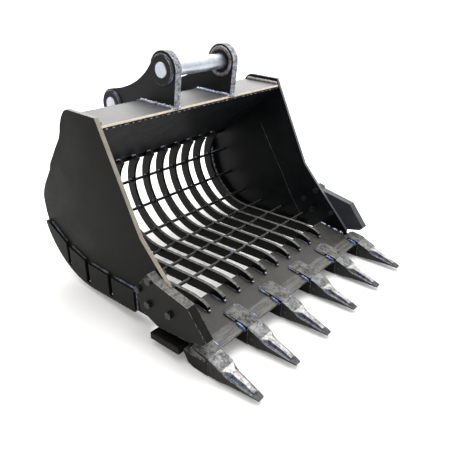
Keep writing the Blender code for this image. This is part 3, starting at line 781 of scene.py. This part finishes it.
# rib crossings with the round bars
runs = []
for i in range(10):
    for k, (u, v) in enumerate(bars):
        for sx in (-1, 1):
            x = rib_x(i) + sx * (RIB_T / 2 + 0.001)
            a = 0.6 + 0.35 * math.sin(i * 3.1 + k)
            runs.append(([(x, u - 0.009 * math.cos(a), v + 0.008),
                          (x + sx * 0.002, u, v + 0.0105),
                          (x, u + 0.009 * math.cos(a), v + 0.006)], 0.0042))
beads("weld_crossings", runs, M_WELD_DULL)
runs = []
for i in range(10):
    for k, (u, v) in enumerate(bars[:3]):
        x = rib_x(i) - (RIB_T / 2 + 0.0015)
        runs.append(([(x - 0.001, u - 0.006, v + 0.006), (x - 0.003, u - 0.001, v + 0.0115)],
                     0.0046 + 0.0012 * math.sin(i * 1.7 + k * 2.3)))
for i in range(10):
    for k, (u, v) in enumerate(bars[3:]):
        x = rib_x(i) - (RIB_T / 2 + 0.0015)
        r = 0.0030 + 0.0010 * math.sin(i * 2.3 + k * 1.9)
        runs.append(([(x - 0.001, u - 0.007, v + 0.006), (x - 0.002, u - 0.002, v + 0.0105)], r))
beads("weld_spots", runs, M_WELD)

# ribs' upper ends on the panel
runs = []
for i in range(10):
    x = rib_x(i) - RIB_T / 2
    runs.append(([(x - 0.026, 0.9035, 0.4735), (x - 0.012, 0.906, 0.4720), (x + 0.004, 0.908, 0.4730)],
                 0.0052 + 0.001 * math.sin(i * 2.9)))
beads("weld_rib_tops", runs, M_WELD)

# ribs' noses on the lip
runs, dull = [], []
for i in range(10):
    x = rib_x(i)
    runs.append(([(x - 0.007, 0.166, 0.025), (x - 0.002, 0.1635, 0.028), (x + 0.005, 0.166, 0.024)], 0.0048))
    dull.append(([(x - 0.0085, 0.174, 0.022), (x - 0.0088, 0.235, 0.032)], 0.0040))
    dull.append(([(x + 0.0085, 0.174, 0.022), (x + 0.0088, 0.205, 0.027)], 0.0042))
beads("weld_rib_noses", runs, M_WELD)
beads("weld_rib_sides", dull, M_WELD_DULL)

# ears on the top plate and the rear plate, front edge returns
runs, dull = [], []
for sx in (-1, 1):
    for face, off in ((EAR_IN, -0.001), (EAR_OUT, 0.001)):
        x = sx * (face + off)
        runs.append(([(x, 0.566, 0.755), (x, 0.640, 0.7575), (x, 0.715, 0.761), (x, 0.782, 0.764)], 0.0100))
        dull.append(([(x, 0.792, 0.764), (x, 0.812, 0.733), (x, 0.850, 0.666), (x, 0.888, 0.602)], 0.0065))
    runs.append(([(sx * (EAR_IN - 0.002), 0.5645, 0.7545), (sx * (EAR_OUT + 0.002), 0.5645, 0.7545)], 0.0075))
beads("weld_ear_feet", runs, M_WELD, ripple=0.34)
beads("weld_ear_rear", dull, M_WELD_DULL)

# boss collars, outside and inside
runs, inner = [], []
for sx in (-1, 1):
    for cu, cv in (FRONT_PIN, REAR_PIN):
        ring = [(sx * (EAR_OUT + 0.0015), cu + (BOSS_R + 0.002) * math.cos(a), cv + (BOSS_R + 0.002) * math.sin(a))
                for a in (math.radians(6 * k) for k in range(61))]
        runs.append((ring, 0.0052))
        ring = [(sx * (EAR_IN + 0.0010), cu + 0.061 * math.cos(a), cv + 0.061 * math.sin(a))
                for a in (math.radians(6 * k) for k in range(61))]
        inner.append((ring, 0.0085))
beads("weld_collars_inner", inner, M_WELD_RING)
beads("weld_bosses", runs, M_WELD_DULL)

# top plate to the sides and to the rear plate
runs, dull_ends = [], []
for sx in (-1, 1):
    x = sx * (INNER - 0.003)
    dull_ends.append(([(x, 0.576, 0.7570), (x, 0.700, 0.7625), (x, 0.778, 0.7660)], 0.0105))
runs.append(([(-0.575, 0.7885, 0.7555), (0.575, 0.7885, 0.7555)], 0.0052))
beads("weld_top_rear", runs, M_WELD_DULL)
beads("weld_top_ends", dull_ends, M_WELD_RING)

# inside seams: panel, rims, floor joint of the side plates
runs, dark = [], []
for sx in (-1, 1):
    x = sx * (INNER - 0.0005)
    dark.append(([(x, 0.586, 0.729), (x, 0.700, 0.6375), (x, 0.905, 0.4745)], 0.0038))
    runs.append(([(x, u, v) for u, v in ((0.676, 0.527), (0.592, 0.385), (0.517, 0.270), (0.463, 0.173),
                                        (0.410, 0.095), (0.365, 0.030))], 0.0014))
beads("weld_side_seams", runs, M_WELD_DULL)
beads("weld_panel_seams", dark, M_INSIDE)
runs = []
for sx in (-1, 1):
    x = sx * (INNER - 0.0305)
    path = arc(SIDE_C, SIDE_R - 0.0165, -62.0, 2.0, 30)
    for k in range(0, 30, 3):
        runs.append(([(x, *path[k]), (x, *path[k + 1]), (x, *path[k + 2])],
                     0.0040 + 0.0012 * math.sin(k * 1.9)))
beads("weld_rims", runs, M_WELD_DULL)

# lip to side plates
runs = []
for sx in (-1, 1):
    x = sx * (INNER - 0.001)
    for a, b in ((0.100, 0.128), (0.134, 0.170), (0.176, 0.198), (0.206, 0.246)):
        runs.append(([(x, a, lip_top(a) + 0.003), (x - sx * 0.002, (a + b) / 2, lip_top((a + b) / 2) + 0.005),
                      (x, b, lip_top(b) + 0.003)], 0.0075))
beads("weld_lip_sides", runs, M_WELD)

# straps on the lip
bright, dull = [], []
for i in range(6):
    x0 = tooth_x(i)
    corner = i in (0, 5)
    back = 0.078 if corner else 0.122
    for sx in (-1, 1):
        if corner and sx * (i - 2.5) > 0:
            continue
        x = x0 + sx * (TOOTH_W / 2 + 0.0035)
        dull.append(([(x, back, lip_top(back) + 0.003), (x, 0.060, lip_top(0.060) + 0.003)], 0.0062))
        bright.append(([(x, 0.056, lip_top(0.056) + 0.002), (x + sx * 0.003, 0.034, lip_top(0.034) + 0.003),
                        (x, 0.013, lip_top(0.014) - 0.001), (x, 0.010, -0.022)], 0.0085))
    dull.append(([(x0 - 0.038, back + 0.003, lip_top(back) + 0.003),
                  (x0 + 0.038, back + 0.003, lip_top(back) + 0.003)], 0.0055))
beads("weld_straps_front", bright, M_WELD_BLUE)
beads("weld_straps", dull, M_WELD_DULL)

# wear pads: beads along the upper edges and drops in the gaps
runs, dots = [], []
tops = [((1.004, 0.236), (0.882, 0.166)), ((0.860, 0.153), (0.752, 0.122)),
        ((0.724, 0.116), (0.592, 0.109)), ((0.566, 0.106), (0.425, 0.103))]
for sx in (-1, 1):
    x = sx * (WIDTH / 2 + 0.0015)
    for a, b in tops:
        ins = 0.006
        runs.append(([(x, a[0] - ins, a[1] + 0.002), (x, (a[0] + b[0]) / 2, (a[1] + b[1]) / 2 + 0.0025),
                      (x, b[0] + ins, b[1] + 0.002)], 0.0048))
    for a, b in zip(tops, tops[1:]):
        u = (a[1][0] + b[0][0]) / 2
        du = max(u - SIDE_C[0], 0.0)
        v = SIDE_C[1] - math.sqrt((SIDE_R - 0.014) ** 2 - du * du) + 0.006
        dots.append(([(x + sx * 0.004, u - 0.005, v), (x + sx * 0.006, u + 0.005, v + 0.002)], 0.0050))
    runs.append(([(x, 0.421, 0.100), (x, 0.421, 0.004)], 0.0042))
beads("weld_pads", runs, M_WELD_DULL, ripple=0.30)
beads("weld_pad_drops", dots, M_WELD)

# corner between the cutter, the runner and the first adapter
runs, spots = [], []
for sx in (-1, 1):
    x = sx * (WIDTH / 2 + 0.003)
    runs.append(([(x, 0.128, -0.0075), (x + sx * 0.010, 0.090, -0.0050), (x + sx * 0.012, 0.045, 0.0020)], 0.0095))
    spots.append(([(x + sx * 0.016, 0.072, 0.0010), (x + sx * 0.018, 0.060, 0.0030)], 0.0050))
beads("weld_corner", runs, M_PLATE, ripple=0.10)
beads("weld_corner_spots", spots, M_WELD_BLUE)

# painted highlight: a thin cream rod along the side cutters' outer front edge
runs = []
for sx in (-1, 1):
    x = sx * (WIDTH / 2 + 0.0004 + CUT_T - 0.0024)
    runs.append(([(x, 0.0040, 0.0665), (x, 0.0480, 0.1215), (x, 0.0935, 0.1765)], 0.0021))
beads("cutter_edge_highlight", runs, M_EDGE, ripple=0.05)

# runners under the front corners
runs = []
for sx in (-1, 1):
    x = sx * (WIDTH / 2 + 0.003)
    runs.append(([(x, 0.132, -0.0060), (x, 0.205, -0.0062), (x, 0.280, -0.0060)], 0.0055))
beads("weld_runners", runs, M_WELD_DULL)

# --------------------------------------------------------------------------
# floor and light
# --------------------------------------------------------------------------
bm = bmesh.new()
bmesh.ops.create_grid(bm, x_segments=1, y_segments=1, size=30.0)
me = bpy.data.meshes.new("floor")
bm.to_mesh(me)
bm.free()
floor = bpy.data.objects.new("floor", me)
scene.collection.objects.link(floor)
floor.location = (0.0, 0.0, -0.0005)
fn = Nodes("floor_pale")
fc = fn.ramp(fn.noise(1.2, 2.0), [(0.3, (0.90, 0.895, 0.885)), (0.7, (0.92, 0.915, 0.905))])
fn.set(color=fc, rough=0.9, spec=0.0)
fn.bsdf.inputs["Emission Color"].default_value = (1.0, 0.99, 0.98, 1.0)
fn.bsdf.inputs["Emission Strength"].default_value = 0.16
me.materials.append(fn.mat)

world = bpy.data.worlds.new("world")
scene.world = world
world.use_nodes = True
wt = world.node_tree
bg = wt.nodes["Background"]
# bright to the far right and overhead, dimmer to the near left
tc = wt.nodes.new("ShaderNodeTexCoord")
dot = wt.nodes.new("ShaderNodeVectorMath")
dot.operation = 'DOT_PRODUCT'
dot.inputs[1].default_value = Vector((0.66, 0.56, 0.50)).normalized()
wt.links.new(tc.outputs["Generated"], dot.inputs[0])
wr = wt.nodes.new("ShaderNodeMapRange")
wr.interpolation_type = 'SMOOTHSTEP'
wr.inputs["From Min"].default_value = -0.45
wr.inputs["From Max"].default_value = 0.75
wr.inputs["To Min"].default_value = 0.30
wr.inputs["To Max"].default_value = 1.75
wt.links.new(dot.outputs["Value"], wr.inputs["Value"])
wt.links.new(wr.outputs["Result"], bg.inputs["Strength"])
bg.inputs["Color"].default_value = (1.0, 0.995, 0.985, 1.0)


def area(name, at, target, size, power, colour=(1.0, 1.0, 1.0)):
    ld = bpy.data.lights.new(name, 'AREA')
    ld.shape = 'RECTANGLE'
    ld.size, ld.size_y = size
    ld.energy = power
    ld.color = colour
    ob = bpy.data.objects.new(name, ld)
    scene.collection.objects.link(ob)
    ob.location = at
    ob.rotation_mode = 'QUATERNION'
    ob.rotation_quaternion = (Vector(target) - Vector(at)).to_track_quat('-Z', 'Y')
    return ob


area("key_back", (3.2, 2.9, 2.7), (0.0, 0.1, 0.4), (4.6, 2.6), 150.0, (1.0, 0.985, 0.96))
area("top_soft", (0.5, 0.3, 3.6), (0.0, 0.0, 0.3), (2.4, 2.4), 90.0)

scene.view_settings.view_transform = 'Standard'
scene.view_settings.look = 'None'

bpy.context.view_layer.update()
